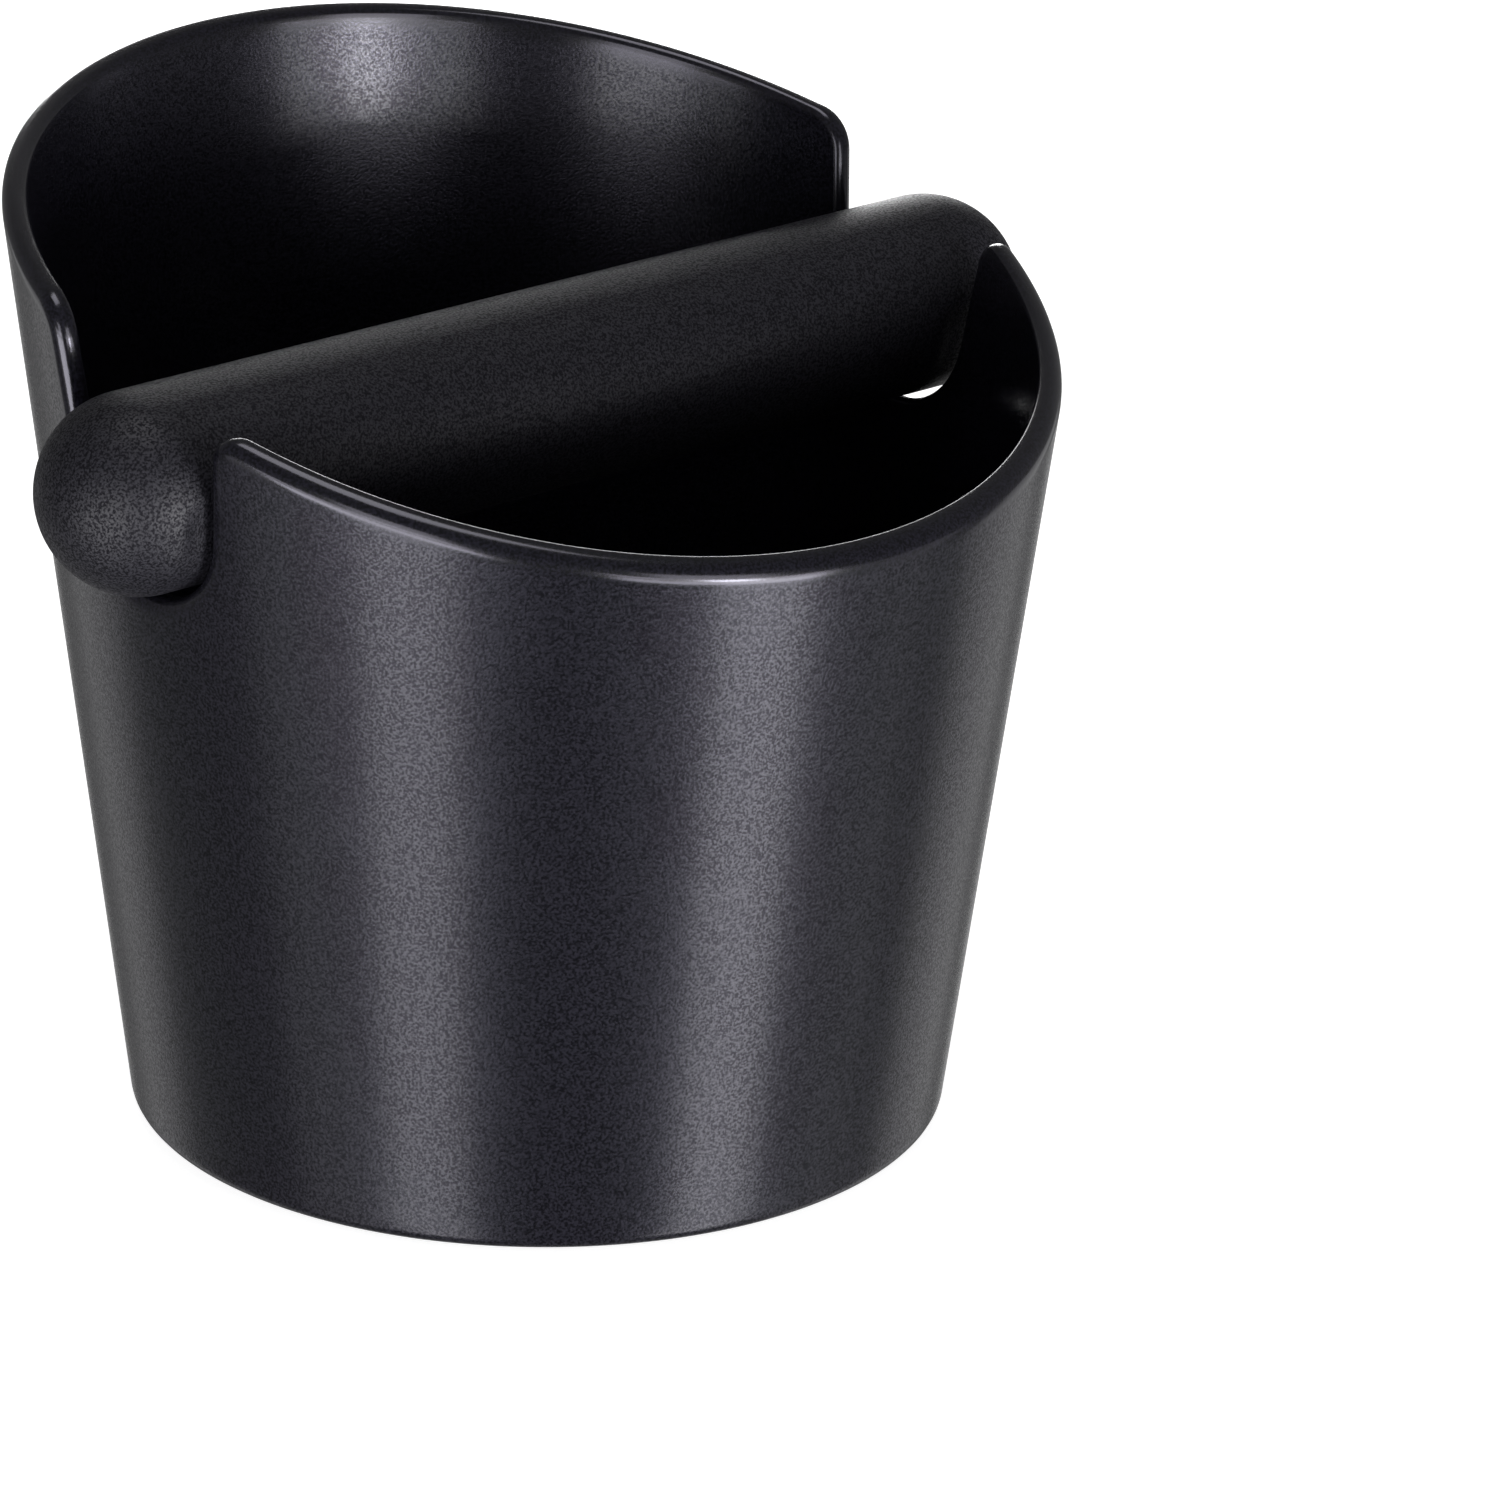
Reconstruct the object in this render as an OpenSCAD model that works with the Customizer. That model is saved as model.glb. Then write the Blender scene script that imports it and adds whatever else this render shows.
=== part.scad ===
// Espresso knock box: a one-piece moulded bucket with a slanted rim, and a
// rubber-covered knock bar that drops into two flared notches and lifts out.
// X runs along the bar, -Y is the low front, +Y the high rear guard, Z is up.
// The origin is the middle of the underside of the foot pad.

/* [Bucket] */
// Outer diameter at the foot, before the edge is rounded
base_d = 106; // [80:1:140]
// Lean of the wall, outwards from upright, in degrees
lean = 7.3; // [3:0.1:12]
// Thickness of the wall
wall = 3.3; // [2.5:0.1:5]
// Thickness of the floor
floor_t = 4; // [3:0.1:8]
// Radius on the outer edge of the foot
base_round = 2; // [0.5:0.1:4]
// Radius where the wall meets the floor inside
floor_round = 6; // [3:0.5:12]

/* [Rim] */
// Height of the rim line over the bar
rim_mid_h = 113; // [95:1:150]
// Fall of the rim towards the front, in degrees
front_slope = 16.5; // [5:0.1:22]
// Rise of the rim towards the rear guard, in degrees
rear_slope = 13.8; // [5:0.1:22]

/* [Notches] */
// Flare of each notch side, outwards going up, in degrees
notch_flare = 7.8; // [3:0.1:12]
// Gap under the bar at the bottom of a notch
under_gap = 1; // [0.6:0.1:3]
// Running gap between the flats of the bar and the notch around them
seat_gap = 0.3; // [0.2:0.05:0.8]
// Corner radius between a notch and the front rim
front_corner_r = 3.5; // [2:0.5:8]
// Corner radius between a notch and the rear rim
rear_corner_r = 6.5; // [2:0.5:9]

/* [Knock bar] */
// Diameter of the rubber sleeve
bar_d = 25.5; // [21:0.5:32]
// Depth of the bar's axis below the rim line
bar_below_rim = 16.3; // [12:0.1:24]
// Length of bar that stands out past the wall at each end
bar_overhang = 12.2; // [6:0.1:20]
// Depth of the flats in the sides of the bar, which key it into the notches
neck_depth = 0.7; // [0.5:0.1:2]
// Outer diameter of the rigid former inside the sleeve
former_d = 18.5; // [15:0.5:20]
// Rubber left beyond the former at each end
end_rubber = 8; // [4:0.5:12]
// Diameter of the steel core
core_d = 10; // [6:0.5:12]
// Depth of each plug in the bore of the former
plug_depth = 8; // [4:0.5:14]
// Thickness of the plug's flange
plug_flange_t = 1.5; // [1:0.1:3]
// Gap around the core and the plugs in the bore
core_gap = 0.1; // [0.05:0.05:0.3]
// Bond line between the sleeve and what it is moulded over
bond_gap = 0.1; // [0.05:0.05:0.2]

/* [Foot pad] */
// Diameter of the non-slip pad
pad_d = 84; // [60:1:96]
// Thickness of the pad
pad_t = 2.2; // [1.6:0.1:4]
// How far the pad stands out below the bucket
pad_proud = 0.6; // [0.3:0.1:1.2]
// Gap around the pad in its recess
pad_gap = 0.15; // [0.05:0.05:0.5]
// Diameter of the innermost grip groove
groove_d = 28; // [12:1:40]
// Spacing of the grip grooves, on the radius
groove_pitch = 9; // [5:0.5:12]
// Width of a grip groove
groove_w = 1.8; // [0.8:0.1:3]
// Depth of a grip groove
groove_depth = 0.6; // [0.3:0.1:1]

/* [Hidden] */
$fn = 128;
groove_count = 3;
corner_steps = 8;

// Bucket wall: radii are level cuts, so the wall's level width is a little more than its thickness
wall_level = wall / cos(lean);
function outer_r(z) = base_d / 2 + tan(lean) * (z - pad_proud);
function inner_r(z) = outer_r(z) - wall_level;
floor_z = pad_proud + floor_t;

// Rim line, seen from the side, as a height for a place on Y
function rim_z(y) = rim_mid_h + (y > 0 ? tan(rear_slope) : tan(front_slope)) * y;
// Height where the rear rim meets the outside of the wall, which is the top of the guard
guard_top = (rim_mid_h + tan(rear_slope) * outer_r(0)) / (1 - tan(rear_slope) * tan(lean));
blank_h = guard_top + wall;
reach = outer_r(blank_h) + wall;

// Knock bar
bar_r = bar_d / 2;
bar_z = rim_mid_h - bar_below_rim;
bar_half = outer_r(bar_z) + bar_overhang;
neck_r = bar_r - neck_depth;

// Notch: two flared sides, seat_gap clear of the bar's flats, joined by a round bottom
side_dist = neck_r + seat_gap;
bottom_dist = bar_r + under_gap;
notch_drop = (bottom_dist - side_dist) / (1 - sin(notch_flare));
notch_r = bottom_dist - notch_drop;
notch_z = bar_z - notch_drop;
notch_half = side_dist / cos(notch_flare);
function notch_edge(z) = notch_half + tan(notch_flare) * (z - bar_z);

// Flats: they start inside the wall, before the full bar would touch a notch side, and run out in the domes
grip = sqrt(bar_r * bar_r - side_dist * side_dist);
neck_in = sqrt(pow(inner_r(bar_z - 3 * grip), 2) - notch_half * notch_half) - seat_gap;
neck_out = bar_half + wall;

// Inside of the bar
bore_r = core_d / 2 + core_gap;
plug_face = bar_half - end_rubber;
former_half = plug_face - plug_flange_t;
core_half = former_half - plug_depth - core_gap;

// Half outline of a round vessel: a leaning side above a flat bottom, with a true arc between them
module vessel_outline(r_low, z_low, z_high, edge_r) {
    r_mid = r_low + edge_r * tan(lean) - edge_r / cos(lean);
    polygon([
        [0, z_low], [r_mid, z_low],
        [r_mid + edge_r * cos(lean), z_low + edge_r * (1 - sin(lean))],
        [r_low + tan(lean) * (z_high - z_low), z_high], [0, z_high]
    ]);
    translate([r_mid, z_low + edge_r]) circle(edge_r);
}

// The wall's corner at p, between directions at angles a and b, as points along its round
function rounded_corner(p, a, b, r) =
    let(half_angle = (b - a) / 2, hub = p + r / sin(half_angle) * [cos(a + half_angle), sin(a + half_angle)])
    [for (i = [0 : corner_steps])
        let(turn = a - 90 + i / corner_steps * (2 * half_angle - 180))
        hub + r * [cos(turn), sin(turn)]];

// Where a notch side meets the rim, seen from the side
notch_edge_mid = notch_edge(rim_mid_h);
rear_y = notch_edge_mid / (1 - tan(notch_flare) * tan(rear_slope));
front_y = -notch_edge_mid / (1 + tan(notch_flare) * tan(front_slope));

// All that is cut from the top of the bucket, seen from the side
module top_cut_outline() {
    top = 2 * blank_h;
    low = notch_z - notch_r * sin(notch_flare);
    polygon(concat(
        [[-reach, top], [-reach, rim_z(-reach)]],
        rounded_corner([front_y, rim_z(front_y)],
            180 + front_slope, 270 + notch_flare, front_corner_r),
        [[-notch_edge(low), low], [notch_edge(low), low]],
        rounded_corner([rear_y, rim_z(rear_y)],
            270 - notch_flare, 360 + rear_slope, rear_corner_r),
        [[reach, rim_z(reach)], [reach, top]]
    ));
    translate([0, notch_z]) circle(notch_r);
}

module bucket() {
    color([0.09, 0.09, 0.11])
    difference() {
        rotate_extrude()
            difference() {
                vessel_outline(outer_r(pad_proud), pad_proud, blank_h, base_round);
                vessel_outline(inner_r(floor_z), floor_z, blank_h + wall, floor_round);
            }
        rotate([90, 0, 90])
            linear_extrude(2 * reach, center = true)
                top_cut_outline();
        cylinder(r = pad_d / 2 + pad_gap, h = pad_t);
    }
}

module foot_pad() {
    color([0.16, 0.16, 0.17])
    difference() {
        cylinder(r = pad_d / 2, h = pad_t);
        for (i = [0 : groove_count - 1])
            translate([0, 0, -groove_depth])
                difference() {
                    cylinder(r = groove_d / 2 + i * groove_pitch + groove_w, h = 2 * groove_depth);
                    translate([0, 0, -groove_depth])
                        cylinder(r = groove_d / 2 + i * groove_pitch, h = 4 * groove_depth);
                }
    }
}

// Lies a shape turned about Z along the bar's axis
module along_bar() {
    translate([0, 0, bar_z]) rotate([0, 90, 0]) children();
}

// A notch's outline drawn in by seat_gap, seen from the side: the bar keeps within it as it crosses a wall
module seat_outline() {
    seat_r = notch_r - seat_gap;
    low = notch_z - seat_r * sin(notch_flare);
    high = bar_z + bar_d;
    low_y = neck_r / cos(notch_flare) + tan(notch_flare) * (low - bar_z);
    high_y = neck_r / cos(notch_flare) + tan(notch_flare) * (high - bar_z);
    polygon([[-low_y, low], [low_y, low], [high_y, high], [-high_y, high]]);
    translate([0, notch_z]) circle(seat_r);
}

module bar_sleeve() {
    dome_x = bar_half - bar_r;
    cavity_r = former_d / 2 + bond_gap;
    color([0.11, 0.11, 0.12])
    difference() {
        along_bar()
        rotate_extrude()
            difference() {
                intersection() {
                    union() {
                        translate([0, -dome_x]) square([bar_r, 2 * dome_x]);
                        for (side = [-1, 1])
                            translate([0, side * dome_x]) circle(bar_r);
                    }
                    translate([0, -bar_half]) square([bar_r, 2 * bar_half]);
                }
                translate([0, -plug_face - bond_gap])
                    square([cavity_r, 2 * (plug_face + bond_gap)]);
            }
        for (side = [-1, 1])
            translate([side * (neck_in + neck_out) / 2, 0, 0])
                difference() {
                    translate([0, 0, bar_z])
                        cube([neck_out - neck_in, 2 * bar_d, 1.9 * bar_d], center = true);
                    rotate([90, 0, 90])
                        linear_extrude(2 * (neck_out - neck_in), center = true)
                            seat_outline();
                }
    }
}

module bar_former() {
    color([0.75, 0.74, 0.70])
    along_bar()
    difference() {
        cylinder(r = former_d / 2, h = 2 * former_half, center = true);
        cylinder(r = bore_r, h = 2 * former_half + 2, center = true);
    }
}

module bar_core() {
    color([0.62, 0.63, 0.65])
    along_bar()
    cylinder(r = core_d / 2, h = 2 * core_half, center = true);
}

// Closes one end of the former and keeps the core in; side is -1 or 1
module core_plug(side) {
    color([0.30, 0.30, 0.32])
    along_bar()
    mirror([0, 0, side < 0 ? 1 : 0])
    union() {
        translate([0, 0, former_half]) cylinder(r = former_d / 2, h = plug_flange_t);
        translate([0, 0, former_half - plug_depth]) cylinder(r = core_d / 2, h = plug_depth + plug_flange_t);
    }
}

bucket();
foot_pad();
bar_sleeve();
bar_former();
bar_core();
core_plug(-1);  // core_plug_left
core_plug(1);  // core_plug_right
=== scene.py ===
from math import asin, atan2, cos, pi, radians, sin, sqrt, tan

import bmesh
import bpy
from mathutils import Matrix, Vector
from mathutils.kdtree import KDTree


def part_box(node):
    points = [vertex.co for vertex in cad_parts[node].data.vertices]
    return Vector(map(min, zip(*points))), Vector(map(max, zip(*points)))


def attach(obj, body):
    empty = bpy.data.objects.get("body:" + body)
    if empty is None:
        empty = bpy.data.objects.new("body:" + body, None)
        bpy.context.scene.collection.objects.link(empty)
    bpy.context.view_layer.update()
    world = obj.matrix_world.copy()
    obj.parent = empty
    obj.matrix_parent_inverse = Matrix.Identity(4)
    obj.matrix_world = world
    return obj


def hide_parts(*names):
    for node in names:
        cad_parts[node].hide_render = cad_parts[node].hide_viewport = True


# Espresso knock box: a moulded bucket with a slanted rim, and a rubber-covered bar that lifts out.
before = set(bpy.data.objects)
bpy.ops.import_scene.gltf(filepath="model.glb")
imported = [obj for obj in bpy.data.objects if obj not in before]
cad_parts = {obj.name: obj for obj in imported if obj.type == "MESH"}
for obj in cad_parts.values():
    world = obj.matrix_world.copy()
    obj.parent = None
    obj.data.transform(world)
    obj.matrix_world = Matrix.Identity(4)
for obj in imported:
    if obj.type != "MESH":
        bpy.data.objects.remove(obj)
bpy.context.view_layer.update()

# ---------------------------------------------------------------- Bucket
# The bucket is one injection moulding in near-black ABS with a fine spark-eroded texture.
# Its wall leans outwards for release from the mould, its rim falls to the front, and the
# knock bar sits in a flared notch on each side. Every top edge is rolled over.

MM = 0.001
weld = 0.002 * MM

foot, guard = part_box("bucket")
bar_low, bar_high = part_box("bar_sleeve")
bar_r = (bar_high.z - bar_low.z) / 2
bar_z = (bar_high.z + bar_low.z) / 2

lean = radians(7.3)
draft = tan(lean)
wall = 3.3 * MM / cos(lean)
front_slope = radians(16.5)
rear_slope = radians(13.8)
foot_r = guard.y - draft * (guard.z - foot.z)
rim_mid = guard.z - tan(rear_slope) * guard.y
floor_z = foot.z + 4 * MM
foot_round = 2 * MM
floor_round = 6 * MM

flare = radians(7.8)
neck_r = bar_r - 0.7 * MM
seat_gap = 0.3 * MM
seat = neck_r + seat_gap
under = bar_r + 1 * MM
notch_drop = (under - seat) / (1 - sin(flare))
notch_r = under - notch_drop
notch_z = bar_z - notch_drop
front_corner = 3.5 * MM
rear_corner = 6.5 * MM

rim_round = 2.2 * MM
inner_round = 0.8 * MM
rim_strip = 3.2 * MM
rim_polish = 3 * MM
polish_fade = 0.8 * MM


def outer_r(z):
    return foot_r + draft * (z - foot.z)


def rim_grade(y):
    """Rise of the rim line for each step along Y, on the side of the bar where y is."""
    return tan(rear_slope if y > 0 else front_slope)


def rim_z(y):
    return rim_mid + rim_grade(y) * y


def notch_y(z):
    """Half width of the notch at a height."""
    return seat / cos(flare) + tan(flare) * (z - bar_z)


def rim_y(azimuth, inward):
    """Place on Y where the rim crosses an azimuth, on the wall's surface that lies inward of the outside."""
    turn = sin(azimuth)
    return turn * (outer_r(rim_mid) - inward) / (1 - draft * rim_grade(turn) * turn)


def steps(start, end, count):
    """Evenly spaced numbers from start up to, and without, end."""
    return [start + (end - start) * i / count for i in range(count)]


def corner(y, toward, away, radius):
    """The round between two edges of the wall that meet on the rim at y, as places on Y and Z."""
    half = (away - toward) / 2
    hub_y = y + radius / sin(half) * cos(toward + half)
    hub_z = rim_z(y) + radius / sin(half) * sin(toward + half)
    first = toward - pi / 2
    last = away - 3 * pi / 2
    return [(hub_y + radius * cos(turn), hub_z + radius * sin(turn))
            for turn in steps(first, last, 12) + [last]]


def line(start, end, count):
    """Points on a straight edge, without its two ends."""
    return [tuple(a + (b - a) * share for a, b in zip(start, end)) for share in steps(0, 1, count)[1:]]


# The top edge of one half, seen from the side: front rim, notch and rear rim.
notch_top = notch_y(rim_mid)
front_arc = corner(-notch_top / (1 + tan(flare) * tan(front_slope)),
                   pi + front_slope, 3 * pi / 2 + flare, front_corner)
rear_arc = corner(notch_top / (1 - tan(flare) * tan(rear_slope)),
                  3 * pi / 2 - flare, 2 * pi + rear_slope, rear_corner)
bottom_arc = [(notch_r * cos(turn), notch_z + notch_r * sin(turn))
              for turn in steps(pi + flare, 2 * pi - flare, 32) + [2 * pi - flare]]
notch_edge = (front_arc + line(front_arc[-1], bottom_arc[0], 12) + bottom_arc
              + line(bottom_arc[-1], rear_arc[0], 20) + rear_arc)


def azimuth_of(y, z, inward=0):
    return asin(max(-1, min(1, y / (outer_r(z) - inward))))


rim_steps = 60
front_turns = steps(-pi / 2, azimuth_of(*front_arc[0]), rim_steps)
rear_turns = steps(pi / 2, azimuth_of(*rear_arc[-1]), rim_steps)[::-1]


def on_wall(azimuth, z, inward):
    r = outer_r(z) - inward
    return Vector((r * cos(azimuth), r * sin(azimuth), z))


def rim_column(share, turn, inward):
    """Rim points leave the corner level across the wall and come to point at the axis by the middle."""
    ease = min(1, 2.5 * share)
    ease = ease * ease * (3 - 2 * ease)
    y = rim_y(turn, 0) + ease * (rim_y(turn, inward) - rim_y(turn, 0))
    return on_wall(azimuth_of(y, rim_z(y), inward), rim_z(y), inward)


def crest(inward):
    """The top edge of one half on one surface of the wall, from the front round to the rear."""
    front = [rim_column(1 - i / rim_steps, turn, inward) for i, turn in enumerate(front_turns)]
    notch = [on_wall(azimuth_of(y, z, inward), z, inward) for y, z in notch_edge]
    rear = [rim_column((i + 1) / rim_steps, turn, inward) for i, turn in enumerate(rear_turns)]
    return front + notch + rear


def below(edge, depth, inward):
    """The top edge moved down the wall's surface, square to itself."""
    flip = Matrix.Scale(-1, 3, (1, 0, 0))
    spots = [flip @ edge[1], *edge, flip @ edge[-2]]
    row = []
    for before, here, after in zip(spots, spots[1:], spots[2:]):
        azimuth = atan2(here.y, here.x)
        outward = Vector((cos(azimuth) * cos(lean), sin(azimuth) * cos(lean), -sin(lean)))
        moved = here + depth * (after - before).cross(outward).normalized()
        row.append(on_wall(atan2(moved.y, moved.x), moved.z, inward))
    return row


def wall_rows(inward, bottom, depths, count):
    """Rows of points over one surface of the wall, from its bottom up to the top edge."""
    edge = crest(inward)
    top_rows = [below(edge, depth, inward) for depth in depths]
    lengths = [0]
    for here, after in zip(edge, edge[1:]):
        lengths.append(lengths[-1] + (after - here).length)
    low_turns = [pi * (length / lengths[-1] - 0.5) for length in lengths]
    rows = []
    for share in [0, 0.03, 0.06] + steps(0.09, 1, count):
        rows.append([])
        for low_turn, high in zip(low_turns, top_rows[0]):
            turn = low_turn + (atan2(high.y, high.x) - low_turn) * share
            rows[-1].append(on_wall(turn, bottom + (high.z - bottom) * share, inward))
    return rows + top_rows + [edge]


def seal(bm):
    """Joins a mesh's seams and turns its faces outwards."""
    bmesh.ops.remove_doubles(bm, verts=bm.verts, dist=weld)
    bmesh.ops.recalc_face_normals(bm, faces=bm.faces)


def add_piece(name, bm, finish):
    """Makes a finished bmesh into an object at the origin."""
    for face in bm.faces:
        face.smooth = True
    mesh = bpy.data.meshes.new(name)
    bm.to_mesh(mesh)
    bm.free()
    mesh.materials.append(finish)
    piece = bpy.data.objects.new(name, mesh)
    bpy.context.scene.collection.objects.link(piece)
    return piece


def ring(bm, z, radius):
    """Edges of the round loop at a height and a radius."""
    return [edge for edge in bm.edges
            if all(abs(v.co.z - z) < 0.01 * MM and abs(v.co.xy.length - radius) < 0.01 * MM
                   for v in edge.verts)]


def draw(bm, loop, radius, z):
    """Extrudes a round loop to a new radius and height, and gives the new loop."""
    made = bmesh.ops.extrude_edge_only(bm, edges=loop)["geom"]
    verts = [g for g in made if isinstance(g, bmesh.types.BMVert)]
    scale = radius / verts[0].co.xy.length
    bmesh.ops.scale(bm, vec=(scale, scale, 1), verts=verts)
    bmesh.ops.translate(bm, vec=(0, 0, z - verts[0].co.z), verts=verts)
    fresh = set(verts)
    return [g for g in made if isinstance(g, bmesh.types.BMEdge) and fresh.issuperset(g.verts)]


def close(bm, loop):
    """Closes a round loop on its middle."""
    verts = list({v for edge in loop for v in edge.verts})
    bmesh.ops.pointmerge(bm, verts=verts, merge_co=(0, 0, verts[0].co.z))


def round_off(bm, edges, radius, segments, angle=pi / 2):
    """Rounds edges to a radius, where the two faces of an edge meet at an angle."""
    bmesh.ops.bevel(bm, geom=edges, offset=radius / tan(angle / 2), offset_type="OFFSET", segments=segments,
                    profile=0.5, affect="EDGES", clamp_overlap=True, loop_slide=True, material=-1)


# One half is a sheet that runs up the outside, over the rim and down the inside. Rows close
# to the rim give its rounds the room they need.
outside = wall_rows(0, foot.z, [rim_strip, rim_round + 0.3 * MM], 24)
inside = wall_rows(wall, floor_z, [rim_strip, inner_round + 0.6 * MM], 22)
rows = outside + inside[::-1]
shell = bmesh.new()
bmesh.ops.create_grid(shell, x_segments=len(rows[0]) - 1, y_segments=len(rows) - 1, size=1)
for vert, spot in zip(shell.verts, [spot for row in rows for spot in row]):
    vert.co = spot
fold = shell.edges.layers.int.new("fold")
shell.verts.index_update()
for edge in shell.edges:
    row_of = {vert.index // len(rows[0]) for vert in edge.verts}
    edge[fold] = 1 if row_of == {len(outside) - 1} else 2 if row_of == {len(outside)} else 0
bmesh.ops.mirror(shell, geom=shell.verts[:] + shell.edges[:] + shell.faces[:], axis="X", merge_dist=weld)
bmesh.ops.remove_doubles(shell, verts=shell.verts, dist=weld)

pad_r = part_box("foot_pad")[1].x
recess_r = pad_r + 0.15 * MM
recess_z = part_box("foot_pad")[1].z
floor_r = outer_r(floor_z) - wall
loop = draw(shell, ring(shell, foot.z, foot_r), recess_r, foot.z)
loop = draw(shell, loop, recess_r, recess_z)
close(shell, draw(shell, loop, recess_r / 3, recess_z))
close(shell, draw(shell, ring(shell, floor_z, floor_r), recess_r / 2, floor_z))
seal(shell)
round_off(shell, [edge for edge in shell.edges if edge[fold] == 1], rim_round, 8)
round_off(shell, [edge for edge in shell.edges if edge[fold] == 2], inner_round, 5)
round_off(shell, ring(shell, foot.z, foot_r), foot_round, 6, pi / 2 + lean)
round_off(shell, ring(shell, floor_z, floor_r), floor_round, 8, pi / 2 + lean)
round_off(shell, ring(shell, foot.z, recess_r), 0.3 * MM, 3)

# The mould's texture stops short of the rim, which is polished: 1 on the rim, 0 on the walls.
top_edge = crest(0) + crest(wall) + crest(wall / 2)
nearest = KDTree(len(top_edge))
for i, spot in enumerate(top_edge):
    nearest.insert(spot, i)
nearest.balance()
rim = shell.verts.layers.float.new("rim")
for vert in shell.verts:
    away = nearest.find((abs(vert.co.x), vert.co.y, vert.co.z))[2]
    vert[rim] = max(0, min(1, (rim_polish - away) / polish_fade))


class Value:
    """A number that a finish works out at each point of a surface. Sums on it add Math nodes."""

    def __init__(self, finish, socket):
        self.finish = finish
        self.socket = socket

    def maths(self, operation, first, second):
        return self.finish.add("ShaderNodeMath", {"operation": operation}, {0: first, 1: second})["Value"]

    def __add__(self, other):
        return self.maths("ADD", self, other)

    def __sub__(self, other):
        return self.maths("SUBTRACT", self, other)

    def __rsub__(self, other):
        return self.maths("SUBTRACT", other, self)

    def __mul__(self, other):
        return self.maths("MULTIPLY", self, other)

    __radd__ = __add__
    __rmul__ = __mul__


class Finish:
    """The nodes of one material, or of the world."""

    def __init__(self, owner):
        self.owner = owner
        owner.use_nodes = True
        owner.node_tree.nodes.clear()

    def add(self, kind, settings, inputs):
        """Makes a node: its settings first, then the values or links of its sockets; gives its outputs."""
        node = self.owner.node_tree.nodes.new(kind)
        for name, value in settings.items():
            setattr(node, name, value)
        for name, value in inputs.items():
            socket = node.inputs[name] if isinstance(name, int) else [
                s for s in node.inputs if s.enabled and s.name == name][0]
            if isinstance(value, Value):
                self.owner.node_tree.links.new(value.socket, socket)
            elif socket.type == "RGBA":
                socket.default_value = (*value, 1)
            else:
                socket.default_value = value
        return {s.name: Value(self, s) for s in node.outputs if s.enabled}

    def noise(self, size, detail, rough, stretch=(1, 1, 1)):
        """Noise from 0 to 1 whose patches measure about size, in metres."""
        place = self.add("ShaderNodeTexCoord", {}, {})["Object"]
        place = self.add("ShaderNodeMapping", {}, {"Vector": place, "Scale": stretch})["Vector"]
        return self.add("ShaderNodeTexNoise", {"noise_dimensions": "3D"},
                        {"Vector": place, "Scale": 1 / size, "Detail": detail, "Roughness": rough})["Fac"]

    def spread(self, value, low, high):
        """A value with everything under low made 0 and over high made 1."""
        return self.add("ShaderNodeMapRange", {"interpolation_type": "SMOOTHSTEP"},
                        {"Value": value, "From Min": low, "From Max": high})["Result"]

    def blend(self, mask, first, second):
        """Goes from the first colour to the second as mask goes from 0 to 1."""
        return self.add("ShaderNodeMix", {"data_type": "RGBA"},
                        {"Factor": mask, "A": first, "B": second})["Result"]

    def relief(self, height, distance):
        return self.add("ShaderNodeBump", {}, {"Height": height, "Distance": distance})["Normal"]

    def surface(self, inputs):
        """Ends a material with its shader."""
        shader = self.add("ShaderNodeBsdfPrincipled", {}, inputs)["BSDF"]
        self.add("ShaderNodeOutputMaterial", {}, {"Surface": shader})
        return self.owner


moulding = Finish(bpy.data.materials.new("moulded_abs"))
grain = moulding.noise(0.34 * MM, 2, 0.5)
peaks = moulding.spread(grain, 0.36, 0.64)
flow = moulding.spread(moulding.noise(18 * MM, 2, 0.5), 0.35, 0.65)
polished = moulding.add("ShaderNodeAttribute", {"attribute_name": "rim"}, {})["Fac"]
moulded_abs = moulding.surface({
    "Base Color": moulding.blend(peaks, (0.0005, 0.0005, 0.0010), (0.0078, 0.0074, 0.0120)),
    "Roughness": 0.225 + 0.03 * flow - 0.105 * polished,
    "Normal": moulding.relief(grain * (1 - 0.8 * polished), 0.05 * MM),
    "IOR": 1.36,
    "Coat Weight": 0.2 + 0.6 * peaks + (0.4 - 0.6 * peaks) * polished,
    "Coat Roughness": 0.22,
    "Specular Tint": (0.78, 0.74, 1.0),
})
bucket = add_piece("bucket_shell", shell, moulded_abs)
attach(bucket, "box")
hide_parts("bucket")

# ---------------------------------------------------------------- Foot pad
# A die-cut disc of soft rubber, pressed into the recess under the bucket. Three round
# grooves moulded into its face help it to grip the worktop.

pad_top = recess_z
groove_r = 14 * MM
groove_pitch = 9 * MM
groove_w = 1.8 * MM
groove_deep = 0.6 * MM


def trace(bm, spots):
    """Joins a few corners by straight edges, as a profile in the plane of X and Z."""
    verts = [bm.verts.new((x, 0, z)) for x, z in spots]
    for first, second in zip(verts, verts[1:]):
        bm.edges.new((first, second))
    return verts


def turn_round(bm, axis, middle, count):
    """Turns a profile once round an axis."""
    bmesh.ops.spin(bm, geom=bm.verts[:] + bm.edges[:], cent=middle, axis=axis, angle=2 * pi,
                   steps=count, use_merge=True)
    seal(bm)


pad = bmesh.new()
profile = [(0, 0)]
for r in (groove_r, groove_r + groove_pitch, groove_r + 2 * groove_pitch):
    profile += [(r, 0), (r, groove_deep), (r + groove_w, groove_deep), (r + groove_w, 0)]
profile += [(pad_r, 0), (pad_r, pad_top), (0, pad_top)]
corners = trace(pad, profile)
bmesh.ops.bevel(pad, geom=corners[1:-1], offset=0.2 * MM, offset_type="OFFSET", segments=3, profile=0.5,
                affect="VERTICES", clamp_overlap=True, material=-1)
turn_round(pad, (0, 0, 1), (0, 0, 0), 160)

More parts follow.
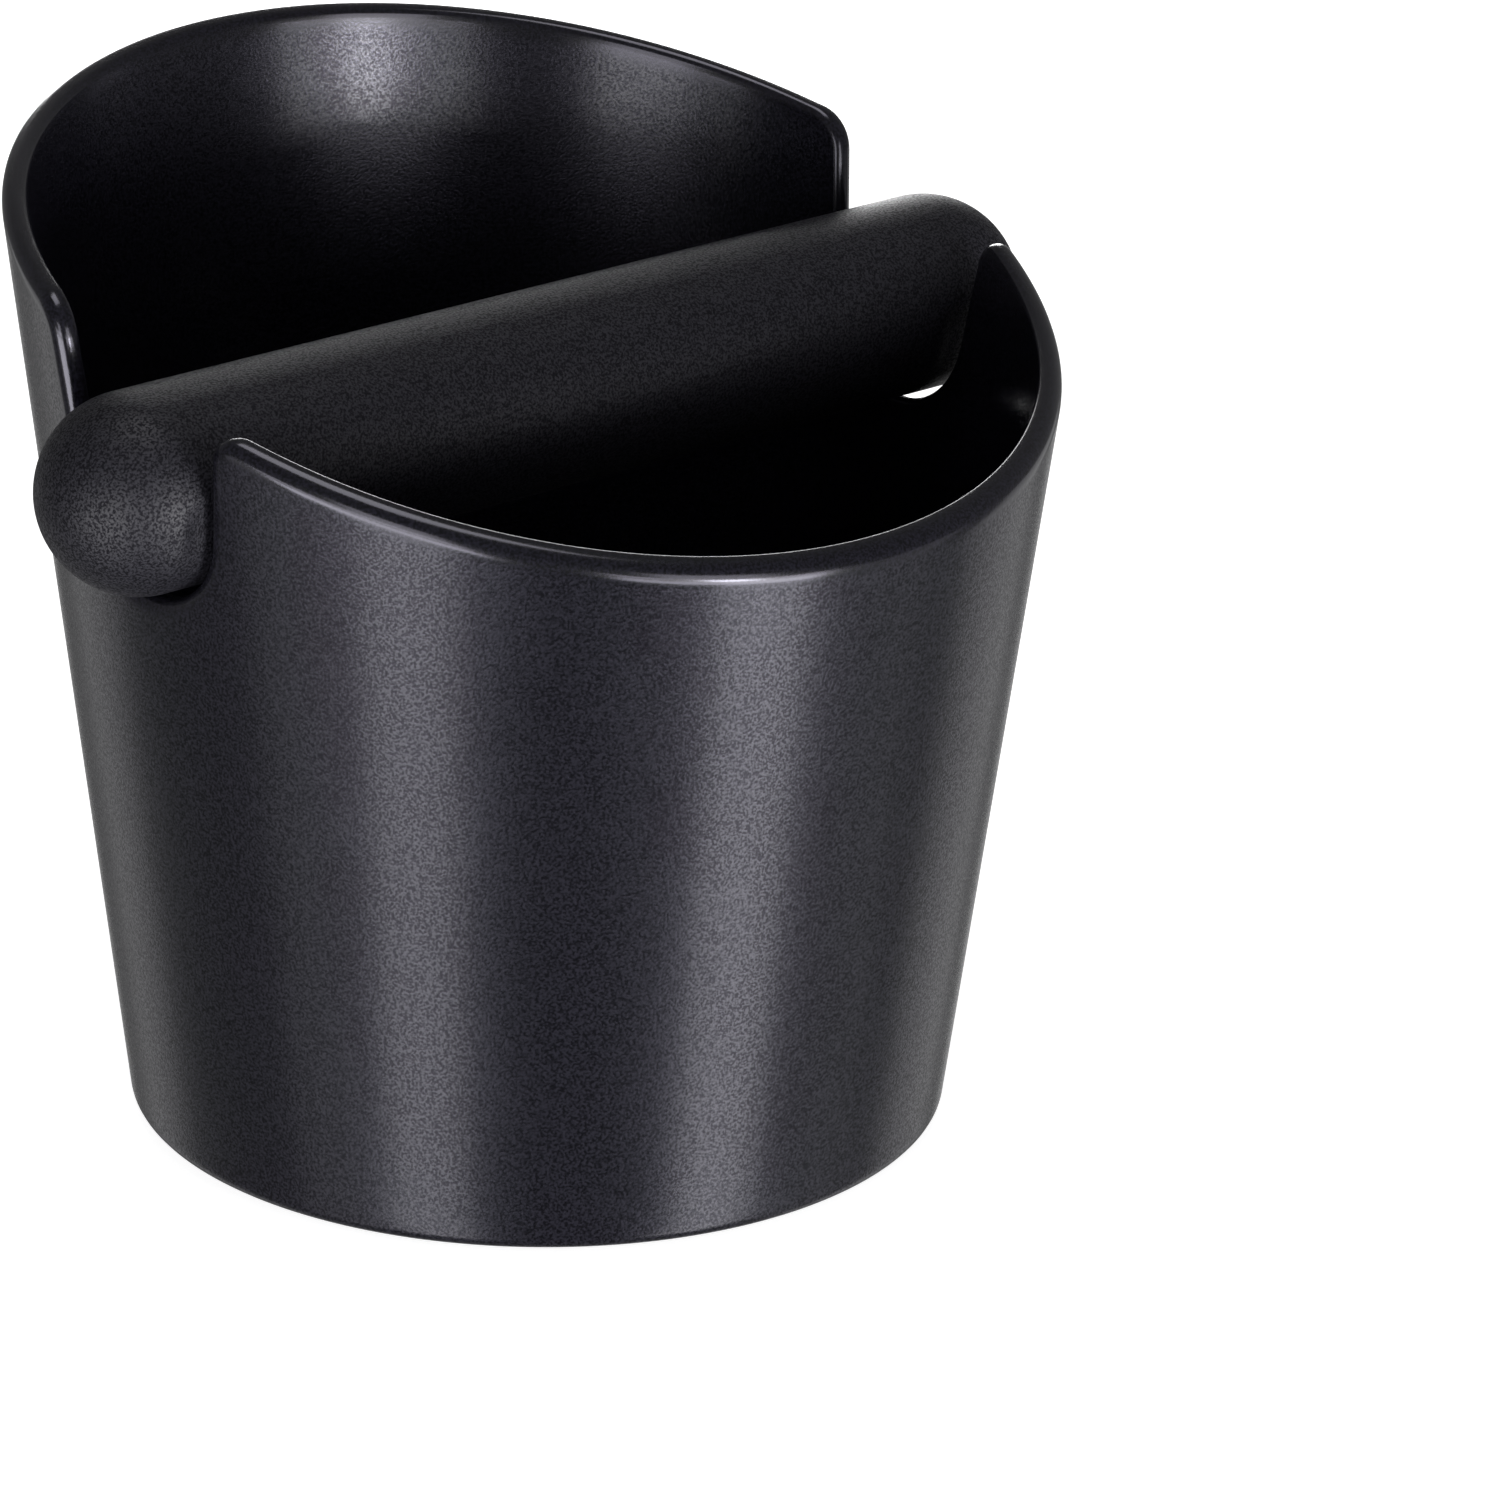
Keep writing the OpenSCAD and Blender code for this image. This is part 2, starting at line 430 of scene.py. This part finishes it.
soft = Finish(bpy.data.materials.new("pad_rubber"))
speck = soft.noise(0.5 * MM, 3, 0.7)
dust = soft.spread(soft.noise(9 * MM, 3, 0.6), 0.45, 0.75)
pad_rubber = soft.surface({
    "Base Color": soft.blend(dust, (0.016, 0.016, 0.018), (0.026, 0.026, 0.028)),
    "Roughness": 0.68 + 0.18 * dust,
    "Normal": soft.relief(speck, 0.04 * MM),
    "IOR": 1.45,
})
pad_piece = add_piece("grip_pad", pad, pad_rubber)
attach(pad_piece, "box")
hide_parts("foot_pad")

# ---------------------------------------------------------------- Knock bar sleeve
# A soft rubber sleeve moulded over the bar, domed at both ends. Where it crosses the walls
# its sides are pressed in to fit the notches, so that the bar can't slide or turn in them.

bar_half = bar_high.x
dome_x = bar_half - bar_r
grip = sqrt(bar_r ** 2 - seat ** 2)
notch_half = seat / cos(flare)
flat_in = sqrt((outer_r(bar_z - 3 * grip) - wall) ** 2 - notch_half ** 2) - seat_gap
flat_out = sqrt(outer_r(bar_z + grip) ** 2 - notch_half ** 2) + seat_gap
shoulder_in = 3 * MM
shoulder_out = 3.5 * MM
bond_gap = 0.1 * MM
bore_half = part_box("core_plug_right")[1].x + bond_gap
bore_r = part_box("bar_former")[1].y + bond_gap


def seat_room(side, rise):
    """How far the rubber may reach from the bar's axis, in the direction of a place in its section."""
    reach = sqrt(side ** 2 + rise ** 2)
    drop = -rise / reach
    arc_end = Vector((notch_r * cos(flare), notch_drop + notch_r * sin(flare)))
    if drop > arc_end.y / arc_end.length:
        return notch_drop * drop + sqrt((notch_r - seat_gap) ** 2 - notch_drop ** 2 * (1 - drop ** 2))
    tilt = abs(side) / reach * cos(flare) + drop * sin(flare)
    return neck_r / tilt if tilt > 0.5 else 2 * bar_r


def press(vert):
    """Presses a point of the sleeve in to its seat, with soft shoulders on both sides of the wall."""
    along = abs(vert.co.x)
    off = max(0, (flat_in - along) / shoulder_in, (along - flat_out) / shoulder_out)
    share = max(0, 1 - off) ** 2 * (1 + 2 * min(1, off))
    section = Vector((vert.co.y, vert.co.z - bar_z))
    if share and section.length > neck_r:
        section *= 1 - share * (1 - min(1, seat_room(*section) / section.length))
        vert.co.y = section.x
        vert.co.z = bar_z + section.y


# One end's dome comes from a point at its tip, and the straight run is finer by the wall.
sleeve = bmesh.new()
tip = sleeve.verts.new((bar_half, 0, bar_z))
dome_foot = bmesh.ops.spin(sleeve, geom=[tip], cent=(dome_x, 0, bar_z), axis=(0, 1, 0), angle=-pi / 2,
                           steps=28)["geom_last"][0]
fine_from = 54 * MM
run = [(x, bar_z + bar_r) for x in steps(dome_x, fine_from, 18)[1:] + steps(fine_from, 0, 10) + [0]]
sleeve.edges.new((dome_foot, trace(sleeve, run)[0]))
bmesh.ops.mirror(sleeve, geom=sleeve.verts[:] + sleeve.edges[:], axis="X", merge_dist=weld)
bmesh.ops.remove_doubles(sleeve, verts=sleeve.verts, dist=weld)
turn_round(sleeve, (1, 0, 0), (0, 0, bar_z), 180)
for vert in sleeve.verts:
    press(vert)

cavity = bmesh.new()
trace(cavity, [(bore_half, bar_z), (bore_half, bar_z + bore_r),
               (-bore_half, bar_z + bore_r), (-bore_half, bar_z)])
turn_round(cavity, (1, 0, 0), (0, 0, bar_z), 96)
bmesh.ops.reverse_faces(cavity, faces=cavity.faces)
hollow = bpy.data.meshes.new("hollow")
cavity.to_mesh(hollow)
cavity.free()
sleeve.from_mesh(hollow)
bpy.data.meshes.remove(hollow)

rubber = Finish(bpy.data.materials.new("sleeve_rubber"))
pores = rubber.noise(0.32 * MM, 2, 0.5)
pits = rubber.spread(pores, 0.38, 0.62)
bloom = rubber.spread(rubber.noise(14 * MM, 3, 0.55), 0.35, 0.75)
sleeve_rubber = rubber.surface({
    "Base Color": rubber.blend(pits, (0.0010, 0.0010, 0.0016), (0.0088, 0.0084, 0.0130)),
    "Roughness": 0.48 + 0.06 * bloom + 0.08 * pores,
    "Normal": rubber.relief(pores, 0.20 * MM),
    "IOR": 1.3,
    "Coat Weight": 0.75 * pits,
    "Coat Roughness": 0.5,
    "Specular Tint": (0.86, 0.83, 1.0),
})
sleeve_piece = add_piece("knock_bar_sleeve", sleeve, sleeve_rubber)
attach(sleeve_piece, "knock_bar")
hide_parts("bar_sleeve")

# ---------------------------------------------------------------- Former, core and plugs
# Inside the sleeve a tube of glass-filled nylon holds its shape, a drawn steel rod gives it
# the weight to take a knock, and a moulded plug closes each end over the rod.

nylon = Finish(bpy.data.materials.new("former_nylon"))
fibre = nylon.noise(0.6 * MM, 3, 0.6, (0.2, 1, 1))
former_nylon = nylon.surface({
    "Base Color": nylon.blend(nylon.spread(fibre, 0.35, 0.7), (0.50, 0.47, 0.40), (0.58, 0.55, 0.47)),
    "Roughness": 0.42 + 0.12 * fibre,
    "Normal": nylon.relief(fibre, 0.02 * MM),
})
steel = Finish(bpy.data.materials.new("core_steel"))
drawn = steel.noise(0.15 * MM, 3, 0.6, (0.02, 1, 1))
core_steel = steel.surface({
    "Base Color": steel.blend(drawn, (0.42, 0.43, 0.45), (0.56, 0.56, 0.57)),
    "Metallic": 1.0,
    "Roughness": 0.26 + 0.16 * drawn,
    "Normal": steel.relief(drawn, 0.006 * MM),
})
plastic = Finish(bpy.data.materials.new("plug_plastic"))
mottle = plastic.noise(0.4 * MM, 3, 0.6)
plug_plastic = plastic.surface({
    "Base Color": plastic.blend(mottle, (0.062, 0.062, 0.068), (0.082, 0.082, 0.090)),
    "Roughness": 0.44 + 0.1 * mottle,
    "Normal": plastic.relief(mottle, 0.015 * MM),
})
for node, finish in (("bar_former", former_nylon), ("bar_core", core_steel),
                     ("core_plug_left", plug_plastic), ("core_plug_right", plug_plastic)):
    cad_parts[node].data.materials.clear()
    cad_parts[node].data.materials.append(finish)

# ---------------------------------------------------------------- Studio
# A white table and surround, with tall soft boxes all round and one overhead. The table
# doesn't show in the plastic's gloss, so the boxes that stand lower than it light the walls.

view_azimuth = radians(-41.651)
view_elevation = radians(21.442)
view_roll = radians(1.282)
view_distance = 1.0561
aim = Vector((0.03532, 0.00014, 0.03862))
back = Vector((sin(view_azimuth) * cos(view_elevation), -cos(view_azimuth) * cos(view_elevation),
               sin(view_elevation)))
lens = bpy.data.cameras.new("camera")
lens.sensor_width = 36
lens.lens = 191.58
lens.clip_start = 0.05
lens.clip_end = 30
camera = bpy.data.objects.new("camera", lens)
bpy.context.scene.collection.objects.link(camera)
camera.matrix_world = (Matrix.Translation(aim + view_distance * back)
                       @ back.to_track_quat("Z", "Y").to_matrix().to_4x4()
                       @ Matrix.Rotation(view_roll, 4, "Z"))
bpy.context.scene.camera = camera
bpy.context.scene.view_settings.view_transform = "Standard"

lamp_distance = 1.1
pit = -1.63
table_edge = -0.03
ceiling = 0.47


def lamp(name, place, away, width, height, glow):
    """An area lamp that shines opposite to away, with a radiance of glow."""
    light = bpy.data.lights.new(name, "AREA")
    light.shape = "RECTANGLE"
    light.size = width
    light.size_y = height
    light.energy = glow * pi * width * height
    box = bpy.data.objects.new(name, light)
    bpy.context.scene.collection.objects.link(box)
    box.matrix_world = Matrix.Translation(place) @ away.to_track_quat("Z", "Y").to_matrix().to_4x4()
    box.visible_camera = False


def softbox(name, azimuth, width, low, high, glow):
    """A lamp that stands from low to high, at an azimuth from the camera's own."""
    turn = view_azimuth + radians(azimuth)
    away = Vector((sin(turn), -cos(turn), 0))
    place = lamp_distance * away + Vector((0, 0, (low + high) / 2))
    lamp(name, place, away, width, high - low, glow)


softbox("left_key", -30, 0.46, pit, table_edge, 2.8)
softbox("left_upper", -20, 0.40, table_edge, ceiling, 2.8)
softbox("left_band", -30, 0.90, -0.07, 0.09, 3.4)
softbox("left_front", -30, 0.90, -0.42, -0.12, 7.0)
softbox("left_wide", -58, 0.46, pit, table_edge, 0.4)
softbox("right_key", 54, 0.46, pit, table_edge, 3.3)
softbox("right_upper", 42, 0.46, table_edge, ceiling, 2.9)
softbox("right_band", 42, 0.92, -0.07, 0.09, 4.6)
softbox("right_spot", 44, 0.20, -0.12, 0.05, 27)
softbox("right_front", 42, 0.90, -0.42, -0.12, 6.0)
softbox("right_wide", 84, 0.69, pit, table_edge, 0.28)
softbox("left_edge", -130, 0.46, pit, table_edge, 0.3)
softbox("right_edge", 132, 0.60, pit, table_edge, 0.35)
softbox("rear_low", 180, 0.69, pit, table_edge, 0.5)
softbox("rear", -175, 0.52, table_edge, ceiling, 5.6)
lamp("overhead", Vector((0, 0, 1.17)), Vector((0, 0, 1)), 0.55, 0.55, 3.3)


def surround_seen(finish):
    """1 where the camera sees the white surround, and less where gloss or glass does."""
    path = finish.add("ShaderNodeLightPath", {}, {})
    return path["Is Camera Ray"] + 0.15 * path["Is Glossy Ray"] + 0.15 * path["Is Transmission Ray"]


# The table lies a hair under the pad, and glows to the camera just enough to stay white far off.
table = bmesh.new()
bmesh.ops.create_grid(table, x_segments=8, y_segments=8, size=3)
bmesh.ops.translate(table, vec=(0, 0, -0.05 * MM), verts=table.verts)
white = Finish(bpy.data.materials.new("table_top"))
lit = white.add("ShaderNodeBsdfDiffuse", {}, {"Color": (0.8, 0.8, 0.8)})["BSDF"]
shine = white.add("ShaderNodeEmission", {},
                  {"Color": (1, 1, 1), "Strength": 0.88 * surround_seen(white)})["Emission"]
both = white.add("ShaderNodeAddShader", {}, {0: lit, 1: shine})["Shader"]
white.add("ShaderNodeOutputMaterial", {}, {"Surface": both})
floor = add_piece("table", table, white.owner)
floor.visible_glossy = False
floor.visible_shadow = False

surround = Finish(bpy.data.worlds.new("surround"))
diffuse_ray = surround.add("ShaderNodeLightPath", {}, {})["Is Diffuse Ray"]
level = surround_seen(surround) + 0.15 * diffuse_ray
sky = surround.add("ShaderNodeBackground", {}, {"Color": (1, 1, 1), "Strength": level})["Background"]
surround.add("ShaderNodeOutputWorld", {}, {"Surface": sky})
bpy.context.scene.world = surround.owner
